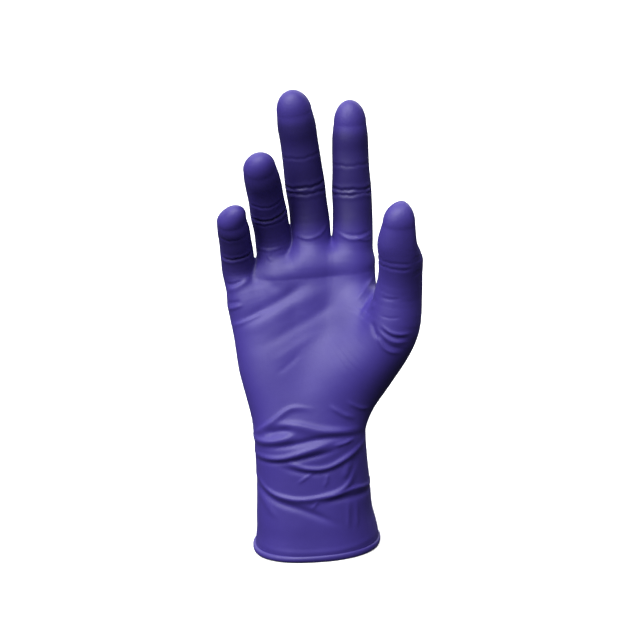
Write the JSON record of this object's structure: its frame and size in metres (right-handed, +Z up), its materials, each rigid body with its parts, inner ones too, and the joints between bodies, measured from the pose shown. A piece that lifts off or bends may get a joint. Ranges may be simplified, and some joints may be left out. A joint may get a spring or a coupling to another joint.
{
  "type": "disposable glove",
  "caption": "Long-cuff disposable nitrile glove in the shape of a worn right hand: one thin hollow film with a rolled rim, flexing at the wrist, knuckles and finger joints.",
  "frame": {"origin": "centre of the cuff's opening, on the plane of the rolled rim", "axes": "+Z up the forearm from the cuff to the fingertips, palm towards -Y, thumb towards +X"},
  "size_m": [0.114, 0.078, 0.2623],
  "materials": {
    "nitrile_film": "satin, finely textured, slightly stretched film",
    "rolled_bead": "satin rolled edge, a shade deeper than the film"
  },
  "bodies": {
    "cuff": {"cuff_bead": "rolled_bead", "cuff_sleeve": "nitrile_film"},
    "palm": {"palm_shell": "nitrile_film"},
    "index_base": {"index_base_stall": "nitrile_film"},
    "index_middle": {"index_middle_stall": "nitrile_film"},
    "index_tip": {"index_tip_stall": "nitrile_film"},
    "middle_base": {"middle_base_stall": "nitrile_film"},
    "middle_middle": {"middle_middle_stall": "nitrile_film"},
    "middle_tip": {"middle_tip_stall": "nitrile_film"},
    "ring_base": {"ring_base_stall": "nitrile_film"},
    "ring_middle": {"ring_middle_stall": "nitrile_film"},
    "ring_tip": {"ring_tip_stall": "nitrile_film"},
    "little_base": {"little_base_stall": "nitrile_film"},
    "little_middle": {"little_middle_stall": "nitrile_film"},
    "little_tip": {"little_tip_stall": "nitrile_film"},
    "thumb_base": {"thumb_base_stall": "nitrile_film"},
    "thumb_tip": {"thumb_tip_stall": "nitrile_film"}
  },
  "joints": [
    {"name": "wrist", "type": "hinge", "parent": "cuff", "child": "palm", "pos_m": [0.0003, 0, 0.069], "axis": [1, 0, 0], "range_deg": [-25, 45], "stiffness_Nm_per_rad": 0.06},
    {"name": "index_knuckle", "type": "hinge", "parent": "palm", "child": "index_base", "pos_m": [0.033, 0.034, 0.1815], "axis": [0.9995, 0, -0.0332], "range_deg": [-22, 45], "stiffness_Nm_per_rad": 0.01},
    {"name": "index_middle_joint", "type": "hinge", "parent": "index_base", "child": "index_middle", "pos_m": [0.03358, 0.03678, 0.19907], "axis": [0.9995, 0, -0.0332], "range_deg": [-8, 55], "stiffness_Nm_per_rad": 0.006},
    {"name": "index_tip_joint", "type": "hinge", "parent": "index_middle", "child": "index_tip", "pos_m": [0.03435, 0.03921, 0.22213], "axis": [0.9995, 0, -0.0332], "range_deg": [-5, 33], "stiffness_Nm_per_rad": 0.006},
    {"name": "middle_knuckle", "type": "hinge", "parent": "palm", "child": "middle_base", "pos_m": [0.0088, 0.0349, 0.183], "axis": [0.9981, 0, 0.0611], "range_deg": [-30, 45], "stiffness_Nm_per_rad": 0.01},
    {"name": "middle_middle_joint", "type": "hinge", "parent": "middle_base", "child": "middle_middle", "pos_m": [0.00756, 0.03561, 0.20335], "axis": [0.9981, 0, 0.0611], "range_deg": [-12, 60], "stiffness_Nm_per_rad": 0.006},
    {"name": "middle_tip_joint", "type": "hinge", "parent": "middle_middle", "child": "middle_tip", "pos_m": [0.00579, 0.03359, 0.23222], "axis": [0.9981, 0, 0.0611], "range_deg": [-7.2, 36], "stiffness_Nm_per_rad": 0.006},
    {"name": "ring_knuckle", "type": "hinge", "parent": "palm", "child": "ring_base", "pos_m": [-0.0124, 0.0315, 0.173], "axis": [0.9963, 0, 0.0854], "range_deg": [-43, 35], "stiffness_Nm_per_rad": 0.01},
    {"name": "ring_middle_joint", "type": "hinge", "parent": "ring_base", "child": "ring_middle", "pos_m": [-0.0139, 0.02646, 0.19053], "axis": [0.9963, 0, 0.0854], "range_deg": [-9, 60], "stiffness_Nm_per_rad": 0.006},
    {"name": "ring_tip_joint", "type": "hinge", "parent": "ring_middle", "child": "ring_tip", "pos_m": [-0.01577, 0.01533, 0.21228], "axis": [0.9963, 0, 0.0854], "range_deg": [-5.4, 36], "stiffness_Nm_per_rad": 0.006},
    {"name": "little_knuckle", "type": "hinge", "parent": "palm", "child": "little_base", "pos_m": [-0.033, 0.0272, 0.1595], "axis": [0.9986, 0, 0.0523], "range_deg": [-42, 33], "stiffness_Nm_per_rad": 0.01},
    {"name": "little_middle_joint", "type": "hinge", "parent": "little_base", "child": "little_middle", "pos_m": [-0.03365, 0.0234, 0.17192], "axis": [0.9986, 0, 0.0523], "range_deg": [-10, 50], "stiffness_Nm_per_rad": 0.006},
    {"name": "little_tip_joint", "type": "hinge", "parent": "little_middle", "child": "little_tip", "pos_m": [-0.03444, 0.01542, 0.1869], "axis": [0.9986, 0, 0.0523], "range_deg": [-6, 30], "stiffness_Nm_per_rad": 0.006},
    {"name": "thumb_base_joint", "type": "hinge", "parent": "palm", "child": "thumb_base", "pos_m": [0.0562, -0.002, 0.151], "axis": [0.4947, -0.848, -0.1899], "range_deg": [-15, 45], "stiffness_Nm_per_rad": 0.01},
    {"name": "thumb_tip_joint", "type": "hinge", "parent": "thumb_base", "child": "thumb_tip", "pos_m": [0.05842, -0.0051, 0.17063], "axis": [0.4947, -0.848, -0.1899], "range_deg": [-12, 65], "stiffness_Nm_per_rad": 0.006}
  ],
  "couplings": [
    {"joint": "index_tip_joint", "follows": "index_middle_joint", "ratio": 0.6},
    {"joint": "middle_tip_joint", "follows": "middle_middle_joint", "ratio": 0.6},
    {"joint": "ring_tip_joint", "follows": "ring_middle_joint", "ratio": 0.6},
    {"joint": "little_tip_joint", "follows": "little_middle_joint", "ratio": 0.6}
  ]
}
